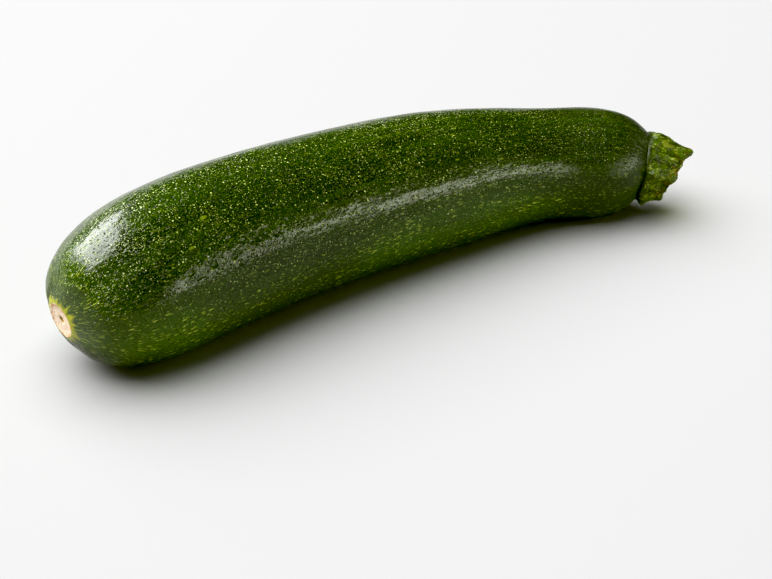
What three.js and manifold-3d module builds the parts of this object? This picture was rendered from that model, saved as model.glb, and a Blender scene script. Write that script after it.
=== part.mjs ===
// A whole courgette, as picked, lying on its side: the fruit with its blossom scar, and the cut stalk.
// Millimetres, +Z up, +X from the blossom end to the stalk, the origin under the middle of its box.

import * as THREE from "three";
import { mergeVertices } from "three/addons/utils/BufferGeometryUtils.js";
import Module from "manifold-3d";

// Driving dimensions.
const BODY_LENGTH = 197.5; // along the spine, from the blossom scar to the rim of the stalk's socket
const BODY_RADIUS = 23.7; // at the fullest part, before the ribs
const STALK_RADIUS = 10.9; // over the flared foot of the stalk
const STALK_LENGTH = 10.3; // along the spine, from the socket's rim to the middle of the cut
const RESTING_DEPTH = 0.7; // how much of the round underside is pressed flat where it lies

// The fruit is soft-cornered: five low ribs run from the stalk to the blossom scar.
const RIBS = 5;
const FIRST_RIB = THREE.MathUtils.degToRad(15); // above the horizontal, on the side of -Y
const RIB_HEIGHT = 0.018; // share of the radius in the middle of the fruit
const SHOULDER_RIB_HEIGHT = 0.03; // share of the radius near the stalk
const SHOULDER_START = 0.6 * BODY_LENGTH; // the ribs grow from here to the stalk

// The scar that the flower leaves: a shallow corky dish with a pit in its middle. It lies beside
// the spine and slants with the round end there.
const SCAR_RADIUS = 5;
const SCAR_ASIDE = 5.8; // from the spine to the pit
const SCAR_SIDE = THREE.MathUtils.degToRad(203); // the angle round the spine, from -Y over the top
const SCAR_SLANT = 0.14; // millimetres along the spine for each millimetre outwards
const SCAR_DEPTH = 0.5;
const SCAR_EDGE_DEPTH = 0.15;
const PIT_RADIUS = 0.9;
const PIT_DEPTH = 0.9;

// The hollow in the fruit's end that the stalk's foot sits in, with a narrow gap all round.
const SOCKET_RADIUS = 9.3;
const SOCKET_DEPTH = 1.4;
const SOCKET_LIP = 0.7;
const STALK_GAP = 0.3;

// The knife went through the stalk at a slant, and the soft middle has sunk since.
const CUT_LEAN_UP = 0.25; // millimetres along the spine for each millimetre up
const CUT_LEAN_SIDE = 0.1; // and for each millimetre towards +Y
const CUT_SUNK = 0.5;

// The stalk has five blunt ribs of its own, in line with the fruit's, and lesser ones beside them.
const STALK_RIB_HEIGHT = 0.085; // share of the radius
const SIDE_RIB_HEIGHT = 0.035;

const SIDES = 50;
const BODY_RINGS = 58;
const WELD = 1e-4;
const UP = new THREE.Vector3(0, 0, 1);

// The spine is nearly straight, sags to the blossom end, and turns aside and down at the neck.
// It runs on past the cut.
const spine = new THREE.CatmullRomCurve3(
  [
    new THREE.Vector3(0, 3.8, 18.6),
    new THREE.Vector3(34, 9.2, 22.1),
    new THREE.Vector3(76, 12.4, 22),
    new THREE.Vector3(118, 11.8, 20.3),
    new THREE.Vector3(150, 8, 18.2),
    new THREE.Vector3(172, 1.9, 16.2),
    new THREE.Vector3(190, -9.4, 14.7),
    new THREE.Vector3(208, -27, 8.9),
  ],
  false,
  "centripetal",
);
const SPINE_LENGTH = spine.getLength();

// Half-widths of the fruit along the spine, from the edge of the scar to the lip of the socket.
const girth = new THREE.SplineCurve([
  new THREE.Vector2(0, SCAR_RADIUS),
  new THREE.Vector2(3, 13.6),
  new THREE.Vector2(10, 18.7),
  new THREE.Vector2(22, 22.6),
  new THREE.Vector2(38, BODY_RADIUS),
  new THREE.Vector2(66, 23.1),
  new THREE.Vector2(104, 22),
  new THREE.Vector2(130, 20.8),
  new THREE.Vector2(150, 18.5),
  new THREE.Vector2(166, 16.9),
  new THREE.Vector2(182, 17),
  new THREE.Vector2(191, 14.9),
  new THREE.Vector2(BODY_LENGTH, SOCKET_RADIUS + SOCKET_LIP),
]);

// The scar from its pit to its edge: distance along the spine, distance from it.
const scarOutline = [
  [PIT_DEPTH, 0.35 * PIT_RADIUS],
  [SCAR_DEPTH, PIT_RADIUS],
  [SCAR_DEPTH, 0.6 * SCAR_RADIUS],
  [SCAR_EDGE_DEPTH, 0.9 * SCAR_RADIUS],
];

// The socket from its lip to its floor, in the same two distances.
const socketFloor = BODY_LENGTH - SOCKET_DEPTH;
const socketOutline = [
  [BODY_LENGTH - STALK_GAP, SOCKET_RADIUS],
  [socketFloor, 0.82 * SOCKET_RADIUS],
  [socketFloor, 0.4 * SOCKET_RADIUS],
];

// The stalk from its foot to its cut: distance along the spine, distance from it, how strong the
// ribs are there, and how far the ring leans with the cut.
const foot = socketFloor + STALK_GAP;
const rim = BODY_LENGTH + STALK_GAP;
const cut = BODY_LENGTH + STALK_LENGTH;
const stalkOutline = [
  [foot, 0.36 * SOCKET_RADIUS, 0, 0],
  [foot, 0.74 * SOCKET_RADIUS, 0, 0],
  [rim, 0.93 * SOCKET_RADIUS, 0, 0],
  [rim + 0.1, 0.97 * STALK_RADIUS, 0.3, 0],
  [rim + 0.9, STALK_RADIUS, 0.5, 0.06],
  [rim + 2.2, 0.98 * STALK_RADIUS, 0.8, 0.2],
  [rim + 4, 0.92 * STALK_RADIUS, 1, 0.42],
  [rim + 6, 0.85 * STALK_RADIUS, 1, 0.64],
  [rim + 8, 0.8 * STALK_RADIUS, 1, 0.84],
  [cut, 0.77 * STALK_RADIUS, 1, 1],
  [cut, 0.7 * STALK_RADIUS, 0.9, 1],
  [cut - 0.8 * CUT_SUNK, 0.58 * STALK_RADIUS, 0.6, 1],
  [cut - CUT_SUNK, 0.3 * STALK_RADIUS, 0.2, 1],
];

// A point from a distance along the spine, a distance from it, and an angle round it. The angle
// starts on the side of -Y and passes the top first. A lean moves the point on along the spine.
function skinPoint(along, out, angle, lean = 0) {
  const forward = spine.getTangentAt(along / SPINE_LENGTH);
  const side = new THREE.Vector3().crossVectors(forward, UP).normalize();
  const up = new THREE.Vector3().crossVectors(side, forward);
  return spine
    .getPointAt(along / SPINE_LENGTH)
    .addScaledVector(forward, lean)
    .addScaledVector(side, out * Math.cos(angle))
    .addScaledVector(up, out * Math.sin(angle));
}

function ring(shape) {
  return Array.from({ length: SIDES }, (_, k) => shape((2 * Math.PI * k) / SIDES));
}

// One closed body from rings of points, each end closed on a point of its own.
function loft(first, rings, last) {
  const points = [first, ...rings.flat(), last];
  const lastRing = 1 + (rings.length - 1) * SIDES;
  const faces = [];
  for (let k = 0; k < SIDES; k++) {
    const next = (k + 1) % SIDES;
    faces.push(0, 1 + k, 1 + next);
    for (let i = 0; i + 1 < rings.length; i++) {
      const a = 1 + i * SIDES + k;
      const b = 1 + i * SIDES + next;
      faces.push(a, a + SIDES, b, b, a + SIDES, b + SIDES);
    }
    faces.push(lastRing + next, lastRing + k, points.length - 1);
  }
  const geometry = new THREE.BufferGeometry().setFromPoints(points);
  geometry.setIndex(faces);
  geometry.computeVertexNormals();
  return geometry;
}

// The ribs' wave round the fruit, 1 on a crest and -1 in a trough.
function ribWave(angle, repeats = RIBS) {
  return Math.cos(repeats * (angle - FIRST_RIB));
}

// A half-width of the fruit with its ribs, which fade out on the scar.
function ribbed(along, out, angle) {
  const shoulder = THREE.MathUtils.smoothstep(along, SHOULDER_START, BODY_LENGTH);
  const height = THREE.MathUtils.lerp(RIB_HEIGHT, SHOULDER_RIB_HEIGHT, shoulder);
  const fade = THREE.MathUtils.smoothstep(out, SCAR_RADIUS, 2 * SCAR_RADIUS);
  return out * (1 + fade * height * ribWave(angle));
}

// A point of the fruit. The rings near the scar lie round it, and the others round the spine.
function fruitPoint(along, out, angle) {
  const near = 1 - THREE.MathUtils.smoothstep(along + out, SCAR_RADIUS, 3 * SCAR_RADIUS);
  const reach = ribbed(along, out, angle);
  const x = reach * Math.cos(angle) + near * SCAR_ASIDE * Math.cos(SCAR_SIDE);
  const y = reach * Math.sin(angle) + near * SCAR_ASIDE * Math.sin(SCAR_SIDE);
  const slant = near * SCAR_SLANT * (SCAR_RADIUS + reach * Math.cos(angle - SCAR_SIDE));
  return skinPoint(along, Math.hypot(x, y), Math.atan2(y, x), slant);
}

function fruitGeometry() {
  const skinOutline = girth.getSpacedPoints(BODY_RINGS).map((point) => [point.x, point.y]);
  const outline = [...scarOutline, ...skinOutline, ...socketOutline];
  const rings = outline.map(([along, out]) => ring((angle) => fruitPoint(along, out, angle)));
  return loft(fruitPoint(PIT_DEPTH, 0, 0), rings, fruitPoint(socketFloor, 0, 0));
}

function stalkGeometry() {
  const rings = stalkOutline.map(([along, out, ribStrength, leanShare]) =>
    ring((angle) => {
      const ribs = STALK_RIB_HEIGHT * ribWave(angle) + SIDE_RIB_HEIGHT * ribWave(angle, 2 * RIBS);
      const reach = out * (1 + ribStrength * ribs);
      const lean = CUT_LEAN_UP * Math.sin(angle) - CUT_LEAN_SIDE * Math.cos(angle);
      return skinPoint(along, reach, angle, leanShare * reach * lean);
    }),
  );
  return loft(skinPoint(foot, 0, 0), rings, skinPoint(cut - CUT_SUNK, 0, 0));
}

const wasm = await Module();
wasm.setup();

function solidOf(geometry) {
  const bare = geometry.clone();
  bare.deleteAttribute("normal");
  bare.deleteAttribute("uv");
  const merged = mergeVertices(bare, WELD);
  const mesh = new wasm.Mesh({
    numProp: 3,
    vertProperties: merged.attributes.position.array,
    triVerts: new Uint32Array(merged.index.array),
  });
  return new wasm.Manifold(mesh);
}

function geometryOf(solid) {
  const mesh = solid.getMesh();
  const geometry = new THREE.BufferGeometry();
  geometry.setAttribute("position", new THREE.BufferAttribute(mesh.vertProperties, 3));
  geometry.setIndex(new THREE.BufferAttribute(mesh.triVerts, 1));
  geometry.computeVertexNormals();
  return geometry;
}

// The weight of the fruit presses its underside flat where it meets the ground.
function pressedFlat(geometry, ground) {
  const block = 2 * BODY_LENGTH;
  const below = new THREE.BoxGeometry(block, block, block);
  below.translate(BODY_LENGTH / 2, 0, ground - block / 2);
  return geometryOf(solidOf(geometry).subtract(solidOf(below)));
}

const round = fruitGeometry();
round.computeBoundingBox();
const ground = round.boundingBox.min.z + RESTING_DEPTH;

const fruit = new THREE.Mesh(
  pressedFlat(round, ground),
  new THREE.MeshStandardMaterial({ color: 0x1f3d0c, roughness: 0.32, metalness: 0 }),
);
fruit.name = "fruit";

const stalk = new THREE.Mesh(
  stalkGeometry(),
  new THREE.MeshStandardMaterial({ color: 0x5f7d1c, roughness: 0.42, metalness: 0 }),
);
stalk.name = "stalk";

// The frame: the middle of the box over the origin, and the flats of the underside on the ground.
const courgette = new THREE.Group();
courgette.add(fruit, stalk);
const box = new THREE.Box3().setFromObject(courgette);
courgette.position.set(-(box.min.x + box.max.x) / 2, -(box.min.y + box.max.y) / 2, -ground);

export default courgette;
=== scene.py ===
"""A whole courgette with its cut stalk, lying on a pale table in soft studio light."""

import math

import bpy
import numpy as np
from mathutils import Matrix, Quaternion, Vector


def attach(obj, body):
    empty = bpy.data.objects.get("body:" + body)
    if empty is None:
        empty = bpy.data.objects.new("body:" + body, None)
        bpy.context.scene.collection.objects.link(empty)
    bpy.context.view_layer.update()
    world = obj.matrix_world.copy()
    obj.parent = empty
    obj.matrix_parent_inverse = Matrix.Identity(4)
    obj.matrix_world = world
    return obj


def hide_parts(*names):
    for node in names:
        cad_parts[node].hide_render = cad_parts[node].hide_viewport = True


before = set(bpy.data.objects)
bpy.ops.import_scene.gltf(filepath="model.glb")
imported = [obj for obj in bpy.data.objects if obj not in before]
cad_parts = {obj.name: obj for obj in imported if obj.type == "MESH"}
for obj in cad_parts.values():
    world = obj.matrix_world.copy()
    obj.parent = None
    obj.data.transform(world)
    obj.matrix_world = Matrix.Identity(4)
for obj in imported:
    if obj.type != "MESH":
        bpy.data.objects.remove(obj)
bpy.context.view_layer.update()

# Lengths are millimetres until they reach Blender, which counts in metres.
MM = 0.001

# The spine of the CAD model, and where the straightened fruit's start lies in the frame.
SPINE = [
    (0, 3.8, 18.6),
    (34, 9.2, 22.1),
    (76, 12.4, 22),
    (118, 11.8, 20.3),
    (150, 8, 18.2),
    (172, 1.9, 16.2),
    (190, -9.4, 14.7),
    (208, -27, 8.9),
]
FRAME_SHIFT = (-103.08, -5.531, 0.521)

# The fruit.
BODY_LENGTH = 197.5
SCAR_RADIUS = 5
SCAR_ASIDE = 5.8
SCAR_SIDE = math.radians(203)
SCAR_SLANT = 0.14
SOCKET_RADIUS = 9.3
SOCKET_DEPTH = 1.4
SOCKET_LIP = 0.7
GIRTH = [
    (0, SCAR_RADIUS),
    (3, 13.6),
    (10, 18.7),
    (22, 22.6),
    (38, 23.7),
    (66, 23.1),
    (104, 22),
    (130, 20.8),
    (150, 18.5),
    (166, 16.9),
    (182, 17),
    (191, 14.9),
    (BODY_LENGTH, SOCKET_RADIUS + SOCKET_LIP),
]
RIBS = 5
FIRST_RIB = math.radians(15)
RIB_HEIGHT = 0.018
SHOULDER_RIB_HEIGHT = 0.03
SHOULDER_START = 0.6 * BODY_LENGTH
SKIN_RINGS = 26
# Small dents: distance along the skin from the scar, angle, half-width and depth.
DENTS = {
    "dent_round": (64.3, 30, 2.4, 0.5),
    "dent_wide": (38, 39, 4.6, 0.6),
    "dent_edge": (45, 35, 3, 0.45),
}
MEAN_RADIUS = 22

# The stalk.
STALK_RADIUS = 10.9
STALK_LENGTH = 10.3
STALK_GAP = 0.3
CUT_SUNK = 0.5
CUT_LEAN_UP = 0.25
CUT_LEAN_SIDE = 0.1
STALK_RIB_HEIGHT = 0.085
SIDE_RIB_HEIGHT = 0.035

# The height that the lights face.
FRUIT_MIDDLE = 25

# The smooth, waxy surface of both pieces.
SKIN_IOR = 1.34

# The camera: azimuth from -Y to +X and elevation in degrees, and what it is aimed at.
CAMERA_AZIMUTH = -36.07
CAMERA_ELEVATION = 30
CAMERA_DISTANCE = 634.56
CAMERA_AIM_RIGHT = 2.063
CAMERA_AIM_UP = -5.821

# The light that is shown as black: the shadows are deep and warm.
BLACK_LEVEL = (0.008, 0.007, 0.018)

# How finely the bodies are made. Smoothing draws a ring in, to a known share of its radius.
SIDES = 40
SMOOTHING = 3
KEPT_BY_SMOOTHING = (2 + math.cos(2 * math.pi / SIDES)) / 3


def smoothstep(value, low, high):
    share = np.clip((value - low) / (high - low), 0, 1)
    return share * share * (3 - 2 * share)


def cubic(t, start, leaving, end, arriving):
    """The point at share t of a curve with the given speeds at its start and end."""
    return (
        (2 * t**3 - 3 * t**2 + 1) * start
        + (t**3 - 2 * t**2 + t) * leaving
        + (-2 * t**3 + 3 * t**2) * end
        + (t**3 - t**2) * arriving
    )


def centripetal(points, steps=40):
    """The points of a centripetal Catmull-Rom curve through the given ones."""
    points = [Vector(point) for point in points]
    points = [2 * points[0] - points[1], *points, 2 * points[-1] - points[-2]]
    line = []
    for a, b, c, d in zip(points, points[1:], points[2:], points[3:]):
        ab, bc, cd = (math.sqrt((q - p).length) for p, q in ((a, b), (b, c), (c, d)))
        leaving = ((b - a) / ab - (c - a) / (ab + bc) + (c - b) / bc) * bc
        arriving = ((c - b) / bc - (d - b) / (bc + cd) + (d - c) / cd) * bc
        for step in range(steps):
            t = step / steps
            line.append(cubic(t, b, leaving, c, arriving))
    line.append(points[-2])
    return line


def girth_outline(rings):
    """Rings of the skin from scar to socket, closer together at both ends."""
    knots = np.array([GIRTH[0], *GIRTH, GIRTH[-1]], float)
    line = []
    for a, b, c, d in zip(knots, knots[1:], knots[2:], knots[3:]):
        for t in np.linspace(0, 1, 60, endpoint=False):
            leaving = (c - a) / 2
            arriving = (d - b) / 2
            line.append(cubic(t, b, leaving, c, arriving))
    line = np.array([*line, knots[-1]])
    run = np.concatenate([[0], np.cumsum(np.linalg.norm(np.diff(line, axis=0), axis=1))])
    share = np.linspace(0, 1, rings)
    share = share - 0.8 * np.sin(2 * math.pi * share) / (2 * math.pi)
    return [
        (np.interp(s, run, line[:, 0]), np.interp(s, run, line[:, 1])) for s in share * run[-1]
    ]


def pick(body):
    bpy.ops.object.select_all(action="DESELECT")
    body.select_set(True)
    bpy.context.view_layer.objects.active = body


def apply(body, name, kind, **settings):
    """Adds a modifier, sets it and applies it."""
    modifier = body.modifiers.new(name, kind)
    for setting, value in settings.items():
        setattr(modifier, setting, value)
    pick(body)
    bpy.ops.object.modifier_apply(modifier=name)


def lathe(name, outline):
    """A round body on the X axis, extruded ring by ring and closed at both ends."""
    along, out = outline[0]
    bpy.ops.object.select_all(action="DESELECT")
    bpy.ops.mesh.primitive_circle_add(
        vertices=SIDES,
        radius=out * MM,
        location=(along * MM, 0, 0),
        rotation=(0, math.pi / 2, 0),
    )
    body = bpy.context.object
    body.name = name
    body.data.name = name
    bpy.ops.object.transform_apply(location=True, rotation=True, scale=True)
    bpy.ops.object.mode_set(mode="EDIT")
    bpy.ops.mesh.select_all(action="SELECT")
    for (along, out), (next_along, next_out) in zip(outline, outline[1:]):
        bpy.ops.mesh.extrude_region_move(
            TRANSFORM_OT_translate={"value": ((next_along - along) * MM, 0, 0)}
        )
        grow = next_out / out
        bpy.ops.transform.resize(value=(1, grow, grow), center_override=(0, 0, 0))
    bpy.ops.mesh.select_all(action="SELECT")
    bpy.ops.mesh.fill_holes(sides=0)
    bpy.ops.mesh.normals_make_consistent(inside=False)
    grow = 1 / KEPT_BY_SMOOTHING
    bpy.ops.transform.resize(value=(1, grow, grow), center_override=(0, 0, 0))
    bpy.ops.object.mode_set(mode="OBJECT")
    apply(body, "smooth", "SUBSURF", levels=SMOOTHING, render_levels=SMOOTHING)
    return body


def points_of(body):
    points = np.empty(3 * len(body.data.vertices))
    body.data.vertices.foreach_get("co", points)
    return points.reshape(-1, 3) / MM


def straight_place(body):
    """Each point's distance along the straight body, from its axis, and its angle round it.

    The angle starts on the side of -Y and passes the top first."""
    x, y, z = points_of(body).T
    return x, np.hypot(y, z), np.arctan2(z, -y)


def paint(body, name, weight, least):
    """Adds a vertex group that holds the weights above the least one."""
    group = body.vertex_groups.new(name=name)
    for index in np.flatnonzero(weight > least):
        group.add([int(index)], float(weight[index]), "REPLACE")


def push(body, name, height, direction="NORMAL"):
    """Moves each point by its own height in millimetres, through painted weights."""
    for sign in (1, -1):
        amount = np.clip(sign * height, 0, None)
        most = amount.max()
        if most < 1e-4:
            continue
        paint(body, name, amount / most, 0.001)
        apply(
            body,
            name,
            "DISPLACE",
            vertex_group=name,
            direction=direction,
            mid_level=0,
            strength=sign * most * MM,
        )
        body.vertex_groups.remove(body.vertex_groups[name])


def roughen(body, name, height, size, stretch=1, depth=2, weight=None):
    """Uneven lumps of a size in millimetres, longer along the body by the stretch."""
    clouds = bpy.data.textures.new(name, "CLOUDS")
    clouds.noise_scale = size * MM
    clouds.noise_depth = depth
    guide = bpy.data.objects.new(name, None)
    guide.scale = (stretch, 1, 1)
    bpy.context.collection.objects.link(guide)
    bpy.context.view_layer.update()
    settings = {}
    if weight is not None:
        paint(body, name, weight, 0.01)
        settings["vertex_group"] = name
    apply(
        body,
        name,
        "DISPLACE",
        texture=clouds,
        texture_coords="OBJECT",
        texture_coords_object=guide,
        mid_level=0.5,
        strength=height * MM,
        **settings,
    )
    bpy.data.objects.remove(guide)
    if weight is not None:
        body.vertex_groups.remove(body.vertex_groups[name])


def store(body, name, values):
    """Keeps a vector for each point, for the materials to read."""
    attribute = body.data.attributes.new(name, "FLOAT_VECTOR", "POINT")
    attribute.data.foreach_set("vector", values.astype(np.float32).ravel())


def store_share(body, name, values):
    """Keeps a number for each point, for the materials to read."""
    attribute = body.data.attributes.new(name, "FLOAT", "POINT")
    attribute.data.foreach_set("value", values.astype(np.float32))


def bend(body):
    """Bends the straight body along the spine and sets it into the frame."""
    line = bpy.data.curves.new("spine", "CURVE")
    line.dimensions = "3D"
    line.twist_mode = "Z_UP"
    spline = line.splines.new("POLY")
    places = [point * MM for point in centripetal(SPINE)]
    spline.points.add(len(places) - 1)
    for point, place in zip(spline.points, places):
        point.co = (*place, 1)
    guide = bpy.data.objects.new("spine", line)
    bpy.context.collection.objects.link(guide)
    apply(body, "bend", "CURVE", object=guide, deform_axis="POS_X")
    bpy.data.objects.remove(guide)
    pick(body)
    bpy.ops.object.mode_set(mode="EDIT")
    bpy.ops.mesh.select_all(action="SELECT")
    bpy.ops.transform.translate(value=tuple(shift * MM for shift in FRAME_SHIFT))
    bpy.ops.object.mode_set(mode="OBJECT")


def wave(angle, repeats=RIBS):
    return np.cos(repeats * (angle - FIRST_RIB))


def make_fruit():
    floor_of_socket = BODY_LENGTH - SOCKET_DEPTH
    scar = [
        (1.0, 0.3),
        (0.95, 0.65),
        (0.5, 1.0),
        (0.35, 1.9),
        (0.42, 3.2),
        (0.25, 4.6),
    ]
    socket = [
        (BODY_LENGTH - STALK_GAP, SOCKET_RADIUS),
        (floor_of_socket, 0.82 * SOCKET_RADIUS),
        (floor_of_socket, 0.4 * SOCKET_RADIUS),
    ]
    outline = [*scar, *girth_outline(SKIN_RINGS), *socket]
    fruit = lathe("courgette_fruit", outline)

    # The straight fruit's own coordinates: along the skin from the scar's middle, and round it.
    along, out, angle = straight_place(fruit)
    line = np.array(outline)
    steps = np.linalg.norm(np.diff(line, axis=0), axis=1)
    fine = np.concatenate([[0], np.cumsum(steps)])
    dense = np.linspace(0, fine[-1], 900)
    dense_line = np.stack([np.interp(dense, fine, line[:, k]) for k in (0, 1)], axis=1)
    run = np.empty(len(along))
    for part in np.array_split(np.arange(len(along)), 40):
        gap = (along[part, None] - dense_line[None, :, 0]) ** 2
        gap += (out[part, None] - dense_line[None, :, 1]) ** 2
        run[part] = dense[gap.argmin(axis=1)]
    store(
        fruit,
        "skin",
        np.stack([run, MEAN_RADIUS * np.cos(angle), MEAN_RADIUS * np.sin(angle)], axis=1),
    )

    shoulder = smoothstep(along, SHOULDER_START, BODY_LENGTH)
    height = RIB_HEIGHT + (SHOULDER_RIB_HEIGHT - RIB_HEIGHT) * shoulder
    fade = smoothstep(out, SCAR_RADIUS, 2 * SCAR_RADIUS)
    push(fruit, "ribs", out * height * fade * wave(angle))
    on_skin = smoothstep(out, 0.9 * SCAR_RADIUS, 2 * SCAR_RADIUS)
    near = 1 - smoothstep(along + out, SCAR_RADIUS, 3 * SCAR_RADIUS)
    slant = SCAR_SLANT * (SCAR_RADIUS + out * np.cos(angle - SCAR_SIDE))
    push(fruit, "scar_aside", -near * SCAR_ASIDE * math.cos(SCAR_SIDE), "Y")
    push(fruit, "scar_down", near * SCAR_ASIDE * math.sin(SCAR_SIDE), "Z")
    push(fruit, "scar_slant", near * slant, "X")
    for dent, (dent_run, dent_angle, wide, deep) in DENTS.items():
        away = np.hypot(run - dent_run, out * (angle - math.radians(dent_angle)))
        push(fruit, dent, -deep * (1 - smoothstep(away, 0.2 * wide, wide)))
    roughen(fruit, "lumps", 0.5, 16, stretch=2, weight=on_skin)
    roughen(fruit, "ripples", 0.28, 4.5, stretch=2.5, weight=on_skin)
    bend(fruit)

    bpy.ops.object.mode_set(mode="EDIT")
    bpy.ops.mesh.select_all(action="DESELECT")
    bpy.ops.object.mode_set(mode="OBJECT")
    below = points_of(fruit)[:, 2] < 0
    fruit.data.vertices.foreach_set("select", below)
    bpy.ops.object.mode_set(mode="EDIT")
    bpy.ops.transform.resize(value=(1, 1, 0), center_override=(0, 0, 0))
    bpy.ops.object.mode_set(mode="OBJECT")
    bpy.ops.object.shade_smooth()
    return fruit


def make_stalk():
    foot = BODY_LENGTH - SOCKET_DEPTH + STALK_GAP
    rim = BODY_LENGTH + STALK_GAP
    cut = BODY_LENGTH + STALK_LENGTH
    outline = [
        (foot, 0.36 * SOCKET_RADIUS),
        (foot, 0.74 * SOCKET_RADIUS),
        (rim - 0.4, 0.96 * SOCKET_RADIUS),
        (rim - 1.1, 0.94 * STALK_RADIUS),
        (rim - 0.2, 0.99 * STALK_RADIUS),
        (rim + 1.6, STALK_RADIUS),
        (rim + 2.6, 0.97 * STALK_RADIUS),
        (rim + 4, 0.92 * STALK_RADIUS),
        (rim + 6, 0.85 * STALK_RADIUS),
        (rim + 8, 0.8 * STALK_RADIUS),
        (cut - 0.3, 0.78 * STALK_RADIUS),
        (cut, 0.76 * STALK_RADIUS),
        (cut, 0.7 * STALK_RADIUS),
        (cut - 0.8 * CUT_SUNK, 0.58 * STALK_RADIUS),
        (cut - CUT_SUNK, 0.3 * STALK_RADIUS),
        (cut - CUT_SUNK, 0.1 * STALK_RADIUS),
    ]
    stalk = lathe("courgette_stalk", outline)
    along, out, angle = straight_place(stalk)
    store(
        stalk,
        "skin",
        np.stack([along - rim, out * np.cos(angle), out * np.sin(angle)], axis=1),
    )
    inside = 1 - smoothstep(out, 0.69 * STALK_RADIUS, 0.73 * STALK_RADIUS)
    store_share(stalk, "cut", inside * (along > rim + 2))
    side = smoothstep(out, 0.5 * STALK_RADIUS, 0.8 * STALK_RADIUS) * smoothstep(
        along, rim - 0.2, rim + 3
    )
    ribs = STALK_RIB_HEIGHT * wave(angle) + SIDE_RIB_HEIGHT * wave(angle, 2 * RIBS)
    push(stalk, "ribs", out * side * ribs)
    grown = smoothstep(along, rim - 0.2, rim + 1.2) * smoothstep(
        out, 0.6 * STALK_RADIUS, 0.75 * STALK_RADIUS
    )
    roughen(stalk, "knobs", 1.4, 3, stretch=1.5, weight=grown)
    roughen(stalk, "warts", 0.55, 1.1, stretch=1.4, weight=grown)
    roughen(stalk, "strings", 0.5, 1.1, stretch=5, weight=grown)

    # The cut leans: the further up and towards +Y, the longer the stalk.
    along, side, up = points_of(stalk).T
    lean = smoothstep(along, rim, cut) * (CUT_LEAN_UP * up + CUT_LEAN_SIDE * side)
    push(stalk, "cut_lean", lean, "X")
    bend(stalk)
    bpy.ops.object.shade_smooth()
    return stalk


class Field:
    """A node's output. Arithmetic on it adds Math nodes to its material."""

    def __init__(self, tree, socket=None):
        self.tree = tree
        self.socket = socket

    def node(self, kind, settings=None, sockets=(), output=0):
        """Adds a node: its settings first, then its sockets' values or links, by name or place."""
        node = self.tree.nodes.new(kind)
        for name, value in (settings or {}).items():
            setattr(node, name, value)
        pairs = sockets.items() if isinstance(sockets, dict) else enumerate(sockets)
        for key, value in pairs:
            if isinstance(value, Field):
                self.tree.links.new(value.socket, node.inputs[key])
            else:
                node.inputs[key].default_value = value
        return Field(self.tree, node.outputs[output] if node.outputs else None)

    def output(self, name):
        return Field(self.tree, self.socket.node.outputs[name])

    def math(self, operation, *values):
        return self.node("ShaderNodeMath", {"operation": operation}, values)

    def __add__(self, other):
        return self.math("ADD", self, other)

    __radd__ = __add__

    def __sub__(self, other):
        return self.math("SUBTRACT", self, other)

    def __rsub__(self, other):
        return self.math("SUBTRACT", other, self)

    def __mul__(self, other):
        return self.math("MULTIPLY", self, other)

    __rmul__ = __mul__

    def __truediv__(self, other):
        return self.math("DIVIDE", self, other)


def ramp(value, low, high):
    """0 at the low value and 1 at the high one, smoothly."""
    return value.node(
        "ShaderNodeMapRange", {"interpolation_type": "SMOOTHSTEP"}, (value, low, high, 0, 1)
    )


def mixed(share, first, second):
    """A colour that goes from the first to the second."""
    return share.node("ShaderNodeMix", {"data_type": "RGBA"}, {0: share, 6: first, 7: second}, 2)


def stretched(place, factors):
    return place.node("ShaderNodeVectorMath", {"operation": "MULTIPLY"}, (place, factors))


def noise(place, size, detail=2, roughness=0.5):
    """Noise with lumps of about the given size."""
    return place.node(
        "ShaderNodeTexNoise",
        None,
        {"Vector": place, "Scale": 1 / size, "Detail": detail, "Roughness": roughness},
    )


def scatter(place, spacing):
    """The distance to the nearest of many scattered points, and that point's three random shares.

    The distance is in spacings."""
    scattered = place.node("ShaderNodeTexVoronoi", None, {"Vector": place, "Scale": 1 / spacing})
    colour = scattered.output("Color")
    return scattered, colour.node("ShaderNodeSeparateColor", None, (colour,))


def spots(place, spacing, smallest, spread):
    """As scatter, with the distance in shares of the spot's own radius.

    The radius goes from the smallest up by the spread, both in spacings."""
    distance, luck = scatter(place, spacing)
    return distance / (smallest + spread * luck.output("Green")), luck


def bump(height):
    """The surface's normal under a relief that is given in millimetres."""
    return height.node(
        "ShaderNodeBump", None, {"Strength": 1.0, "Distance": MM, "Height": height}
    )


def hue(red, green, blue):
    """A linear colour from display values out of 255."""
    return tuple(
        (c / 12.92 if c <= 0.04045 else ((c + 0.055) / 1.055) ** 2.4)
        for c in (red / 255, green / 255, blue / 255)
    ) + (1,)


def new_material(name):
    material = bpy.data.materials.new(name)
    material.use_nodes = True
    material.node_tree.nodes.clear()
    return material, Field(material.node_tree)


def finish_material(canvas, sockets):
    shader = canvas.node("ShaderNodeBsdfPrincipled", None, sockets)
    canvas.node("ShaderNodeOutputMaterial", None, {"Surface": shader})


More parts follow.
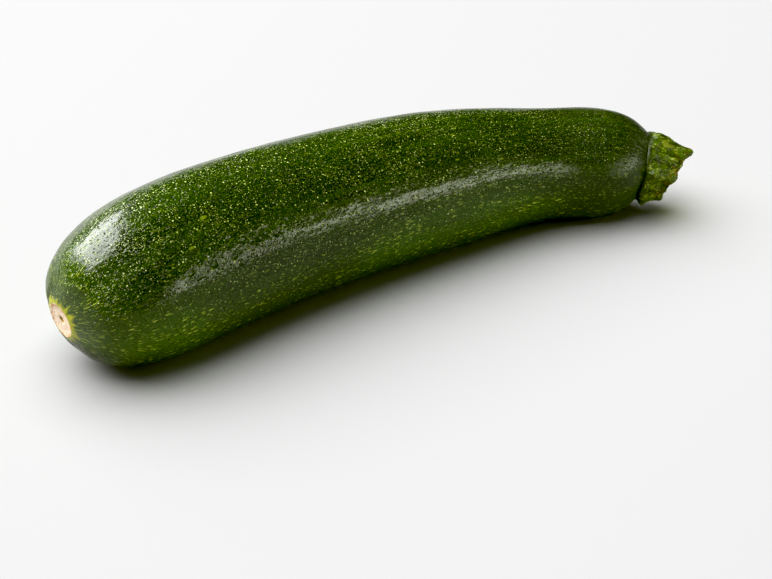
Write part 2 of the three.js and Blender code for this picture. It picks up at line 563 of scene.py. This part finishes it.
def skin_material():
    material, canvas = new_material("courgette_skin")
    place = canvas.node("ShaderNodeAttribute", {"attribute_name": "skin"}, (), "Vector")
    parts = place.node("ShaderNodeSeparateXYZ", None, (place,))
    run = parts.output("X")
    round_front = parts.output("Y")
    round_top = parts.output("Z")

    # Where the skin is on the fruit. The belly is paler, most of all towards both ends: along the
    # middle its pale tone is held back, a painted shade.
    belly = 1 - ramp(round_top, -0.4 * MEAN_RADIUS, 0.5 * MEAN_RADIUS)
    shoulder = ramp(run, 160, 196)
    painted_light_crown = ramp(round_top, 0.5 * MEAN_RADIUS, 0.95 * MEAN_RADIUS)
    painted_shade_underside = 1 - ramp(round_top, -0.95 * MEAN_RADIUS, -0.35 * MEAN_RADIUS)
    scar_end = 1 - ramp(run, 8, 30)
    front = 1 - ramp(run, 18, 74)
    painted_shade_middle = ramp(run, 34, 52) * (1 - ramp(run, 80, 120))
    dimpled = ramp(run, 34, 44) * (1 - ramp(run, 66, 90)) * ramp(round_front, 4, 10)
    dimpled = dimpled * ramp(round_top, 3, 7) * (1 - ramp(round_top, 11, 16))

    # The ground colour: dark green with soft cloudy patches, bands along it and a fine grain.
    clouds = noise(stretched(place, (0.4, 1, 1)), size=9, detail=3)
    bands = noise(stretched(place, (0.03, 1, 1)), size=2.2, detail=2)
    grain = noise(stretched(place, (0.7, 1, 1)), size=0.4, detail=2, roughness=0.6)
    ground = mixed(ramp(clouds, 0.3, 0.7), hue(10, 20, 3), hue(19, 35, 6))
    ground = mixed(ramp(bands, 0.45, 0.8) * 0.5, ground, hue(38, 60, 8))
    pale = mixed(ramp(clouds, 0.3, 0.7), hue(26, 50, 2), hue(40, 70, 6))
    # Painted shade: the belly's pale tone is held back along the middle.
    ground = mixed(belly * (1 - 0.5 * shoulder) * (1 - 0.85 * painted_shade_middle), ground, pale)
    ground = mixed(belly * front * 0.65, ground, hue(52, 78, 8))
    ground = mixed(scar_end * 0.3, ground, hue(54, 80, 5))
    ground = mixed(shoulder * 0.35, ground, hue(10, 20, 1))
    # Painted shade: the ground is darkened towards the underside.
    ground = mixed(painted_shade_underside * 0.88, ground, hue(16, 20, 3))
    ground = mixed(ramp(grain, 0.45, 0.75) * 0.34, ground, hue(64, 92, 16))
    ground = mixed(ramp(grain, 0.5, 0.3) * 0.5, ground, hue(12, 20, 1))

    # Speckles: fine and larger round ones all over.
    crowd = ramp(noise(stretched(place, (0.6, 1, 1)), size=6, detail=2), 0.32, 0.62)
    specks, speck_luck = spots(
        stretched(place, (0.85, 1, 1)), spacing=0.4, smallest=0.18, spread=0.28
    )
    specks = specks / (0.7 + 0.3 * crowd)
    pale_luck = speck_luck.output("Blue")
    speckle = ramp(specks, 1.1, 0.6) * (0.15 + 0.85 * pale_luck * pale_luck)
    # Painted light and shade: speckles are brighter on the top, as painted glints, and dimmer on
    # the front below it.
    speckle = speckle * (0.55 + 0.35 * painted_light_crown) * (1 - 0.55 * shoulder) * (1 - 0.5 * belly)
    speckle = speckle * (1 - 0.5 * front * (1 - painted_light_crown))
    speckle_colour = mixed(speck_luck.output("Red"), hue(100, 130, 28), hue(198, 210, 128))
    colour = mixed(speckle, ground, speckle_colour)
    points, point_luck = spots(place, spacing=1.3, smallest=0.08, spread=0.12)
    point = ramp(points, 1.1, 0.7) * (1 - 0.5 * shoulder) * (1 - 0.5 * belly)
    # Painted light and shade: the points too are dimmer on the front below the top.
    point = point * (1 - 0.35 * front * (1 - painted_light_crown))
    point_colour = mixed(point_luck.output("Red"), hue(124, 150, 40), hue(206, 216, 140))
    colour = mixed(point * 0.8, colour, point_colour)

    # Dashes in rows on the belly and round the scar.
    rows = ramp(noise(stretched(place, (0.05, 1, 1)), size=1.3, detail=1), 0.42, 0.6)
    dashes, dash_luck = spots(
        stretched(place, (0.36, 1.35, 1.35)), spacing=0.8, smallest=0.2, spread=0.28
    )
    dashes = dashes / (0.55 + 0.45 * rows)
    dashing = 1 - (1 - belly) * (1 - scar_end)
    streak = ramp(dashes, 1.1, 0.6) * (0.15 + 0.65 * dashing + 0.2 * belly * front)
    # Painted shade: the dashes fade on the underside.
    streak = streak * (0.3 + 0.7 * dash_luck.output("Blue")) * (1 - 0.6 * painted_shade_underside)
    dash_colour = mixed(dash_luck.output("Red"), hue(118, 142, 22), hue(194, 206, 78))
    # Painted shade: the dashes are dimmer along the middle.
    colour = mixed(streak * (0.9 - 0.3 * painted_shade_middle), colour, dash_colour)

    # Small pores: dimples in the relief, painted dark as shade in them.
    pore_dimples_and_shade, _ = spots(place, spacing=0.95, smallest=0.14, spread=0.2)
    colour = mixed(ramp(pore_dimples_and_shade, 1.1, 0.7) * 0.85, colour, hue(12, 22, 1))

    # A patch of small dimples and knocks on the front.
    dimples, _ = spots(stretched(place, (0.7, 1, 1)), spacing=2.6, smallest=0.2, spread=0.25)

    # A few larger pale flecks, longer than wide.
    flecks, fleck_luck = scatter(stretched(place, (0.42, 1, 1)), spacing=6.5)
    fleck = 1 - ramp(flecks - 0.1 * fleck_luck.output("Green"), -0.03, 0.02)
    colour = mixed(fleck * 0.5, colour, hue(120, 138, 34))

    # The blossom scar: pale cork with a brown pit, rusty dots on its edge, and a yellow star.
    own = canvas.node("ShaderNodeTexCoord", None, (), "Object")
    rays = noise(stretched(place, (0.12, 0.28, 0.28)), size=1, detail=1)
    halo = 1 - ramp(run - 6 * (rays - 0.5), 5.6, 7.4)
    colour = mixed(halo * 0.9, colour, hue(150, 152, 16))
    cork_grain = noise(own, size=0.7 * MM, detail=3)
    edge = run + 1.2 * (noise(own, size=2.2 * MM, detail=2) - 0.5)
    scar = 1 - ramp(edge, 4.9, 5.4)
    rust = ramp(edge, 4.0, 4.6) * scar * ramp(noise(own, size=0.9 * MM, detail=1), 0.45, 0.58)
    cork = mixed(ramp(cork_grain, 0.3, 0.7), hue(200, 174, 146), hue(226, 206, 182))
    cork = mixed(rust, cork, hue(184, 112, 50))
    pit = 1 - ramp(run + 0.8 * (cork_grain - 0.5), 0.6, 1.3)
    cork = mixed(pit, cork, hue(168, 134, 62))
    colour = mixed(scar, colour, cork)

    # Each speckle is a low dome; the skin between them is finely grained and faintly wavy.
    skin = 1 - scar
    height = 0.06 * ramp(specks, 1.2, 0.1) * skin
    height = height + 0.09 * ramp(points, 1.2, 0.1) * skin
    height = height + 0.05 * ramp(dashes, 1.2, 0.1) * skin
    height = height - 0.16 * ramp(pore_dimples_and_shade, 1.2, 0.1) * skin
    height = height - 0.4 * ramp(dimples, 1.2, 0.2) * dimpled
    height = height + 0.35 * noise(place, size=1.1, detail=2) * dimpled
    height = height + 0.02 * grain
    height = height + 0.2 * noise(stretched(place, (0.6, 1, 1)), size=1.8, detail=3)
    height = height + 0.06 * cork_grain * scar
    roughness = 0.12 + 0.12 * noise(place, size=4, detail=2) + 0.14 * shoulder + 0.45 * scar
    finish_material(
        canvas,
        {
            "Base Color": colour,
            "Roughness": roughness,
            "IOR": SKIN_IOR,
            "Normal": bump(height),
        },
    )
    return material


def stalk_material():
    material, canvas = new_material("courgette_stalk")
    place = canvas.node("ShaderNodeAttribute", {"attribute_name": "skin"}, (), "Vector")
    run = place.node("ShaderNodeSeparateXYZ", None, (place,)).output("X")
    from_axis = place.node(
        "ShaderNodeVectorMath", {"operation": "LENGTH"}, (stretched(place, (0, 1, 1)),), "Value"
    )

    # The side: dark green, blotched yellow-green, with pale strings and small pale warts.
    blotches = noise(stretched(place, (0.7, 1, 1)), size=2.4, detail=4, roughness=0.62)
    patches = noise(stretched(place, (0.6, 1, 1)), size=1.5, detail=3, roughness=0.6)
    strings = noise(stretched(place, (0.2, 1, 1)), size=0.7, detail=3, roughness=0.6)
    colour = mixed(ramp(blotches, 0.38, 0.6), hue(22, 34, 2), hue(56, 76, 6))
    colour = mixed(ramp(patches, 0.52, 0.68) * 0.8, colour, hue(114, 122, 28))
    colour = mixed(ramp(patches, 0.46, 0.32) * 0.7, colour, hue(20, 34, 3))
    colour = mixed(ramp(strings, 0.55, 0.75) * 0.6, colour, hue(160, 172, 70))
    warts, _ = spots(place, spacing=0.9, smallest=0.14, spread=0.2)
    colour = mixed(ramp(warts, 1.1, 0.6) * 0.5, colour, hue(150, 168, 62))
    # Painted shade: darker in the crease where the stalk meets the fruit.
    painted_crease_shade = 1 - ramp(run, -0.3, 1.2)
    colour = mixed(painted_crease_shade * 0.8, colour, hue(20, 32, 3))

    # The cut: pale damp flesh, a darker ring under the skin, and an edge that has browned.
    cut = ramp(run, STALK_LENGTH - 3.6, STALK_LENGTH - 2.4)
    browned = cut * ramp(noise(place, size=1.6, detail=2), 0.5, 0.62)
    colour = mixed(browned * 0.5, colour, hue(96, 66, 20))
    cells = noise(place, size=0.6, detail=3, roughness=0.6)
    flesh = mixed(ramp(cells, 0.35, 0.65), hue(150, 160, 84), hue(196, 200, 134))
    spongy = 1 - ramp(from_axis + 1.2 * (cells - 0.5), 1.8, 3.4)
    flesh = mixed(spongy, flesh, hue(214, 212, 168))
    ring = ramp(from_axis, 5.2, 6.4)
    flesh = mixed(ring * 0.7, flesh, hue(96, 116, 30))
    inside = canvas.node("ShaderNodeAttribute", {"attribute_name": "cut"}, (), "Fac")
    colour = mixed(inside, colour, flesh)

    height = 0.3 * patches + 0.15 * strings + 0.18 * ramp(warts, 1.2, 0.1) + 0.1 * cells
    finish_material(
        canvas,
        {
            "Base Color": colour,
            "Roughness": 0.36 + 0.2 * blotches + 0.2 * inside,
            "IOR": SKIN_IOR,
            "Normal": bump(height),
        },
    )
    return material


def table_material():
    material, canvas = new_material("pale_table")
    finish_material(canvas, {"Base Color": (0.8, 0.8, 0.8, 1), "Roughness": 0.9})
    return material


def dress(piece, material):
    piece.data.materials.clear()
    piece.data.materials.append(material)


def make_table():
    bpy.ops.object.select_all(action="DESELECT")
    bpy.ops.mesh.primitive_plane_add(size=8)
    table = bpy.context.object
    table.name = "table"
    return table


def direction(azimuth, elevation):
    """The way out from the fruit at angles in degrees; the azimuth goes from -Y to +X."""
    azimuth = math.radians(azimuth)
    elevation = math.radians(elevation)
    return Vector(
        (
            math.sin(azimuth) * math.cos(elevation),
            -math.cos(azimuth) * math.cos(elevation),
            math.sin(elevation),
        )
    )


def softbox(name, azimuth, elevation, roll, distance, width, height, radiance, tint, lit):
    """An oblong light that faces the fruit and lights only the given things.

    Its distance, width and height are in metres."""
    towards = direction(azimuth, elevation)
    light = bpy.data.lights.new(name, "AREA")
    light.shape = "RECTANGLE"
    light.size = width
    light.size_y = height
    light.energy = radiance * math.pi * width * height
    light.color = tint
    box = bpy.data.objects.new(name, light)
    box.location = towards * distance + Vector((0, 0, FRUIT_MIDDLE * MM))
    turned = towards.to_track_quat("Z", "Y") @ Quaternion((0, 0, 1), math.radians(roll))
    box.rotation_euler = turned.to_euler()
    bpy.context.collection.objects.link(box)
    lit_things = bpy.data.collections.new(f"lit_by_{name}")
    for thing in lit:
        lit_things.objects.link(thing)
    box.light_linking.receiver_collection = lit_things


def make_camera():
    back = direction(CAMERA_AZIMUTH, CAMERA_ELEVATION)
    right = direction(CAMERA_AZIMUTH + 90, 0)
    up = back.cross(right)
    lens = bpy.data.cameras.new("camera")
    lens.lens = 100
    lens.sensor_width = 36
    camera = bpy.data.objects.new("camera", lens)
    aim = CAMERA_AIM_RIGHT * right + CAMERA_AIM_UP * up
    camera.location = (aim + CAMERA_DISTANCE * back) * MM
    camera.rotation_euler = back.to_track_quat("Z", "Y").to_euler()
    bpy.context.collection.objects.link(camera)
    bpy.context.scene.camera = camera


def make_light(pieces, table):
    white = (1, 1, 1)
    leafy = (0.96, 1, 0.78)
    softbox(
        "window",
        azimuth=-143,
        elevation=49,
        roll=39,
        distance=0.93,
        width=1.16,
        height=0.6,
        radiance=23,
        tint=white,
        lit=pieces,
    )
    softbox(
        "low_strip",
        azimuth=31,
        elevation=11,
        roll=10,
        distance=1.5,
        width=1.35,
        height=0.23,
        radiance=15,
        tint=leafy,
        lit=pieces,
    )
    softbox(
        "low_glow",
        azimuth=38,
        elevation=14,
        roll=10,
        distance=1.5,
        width=2.0,
        height=1.1,
        radiance=0.45,
        tint=leafy,
        lit=pieces,
    )
    softbox(
        "table_light",
        azimuth=-158,
        elevation=66,
        roll=0,
        distance=2.5,
        width=4.2,
        height=4.2,
        radiance=2.6,
        tint=white,
        lit=[table],
    )
    world = bpy.data.worlds.new("room")
    world.use_nodes = True
    world.node_tree.nodes["Background"].inputs["Color"].default_value = (1, 1, 1, 1)
    world.node_tree.nodes["Background"].inputs["Strength"].default_value = 0.05
    bpy.context.scene.world = world
    grade = bpy.context.scene.view_settings
    grade.view_transform = "Standard"
    grade.use_curve_mapping = True
    grade.curve_mapping.black_level = BLACK_LEVEL
    grade.curve_mapping.update()


fruit = make_fruit()
dress(fruit, skin_material())
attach(fruit, "root")
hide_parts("fruit")

stalk = make_stalk()
dress(stalk, stalk_material())
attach(stalk, "root")
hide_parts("stalk")

table = make_table()
dress(table, table_material())

make_camera()
make_light([fruit, stalk], table)
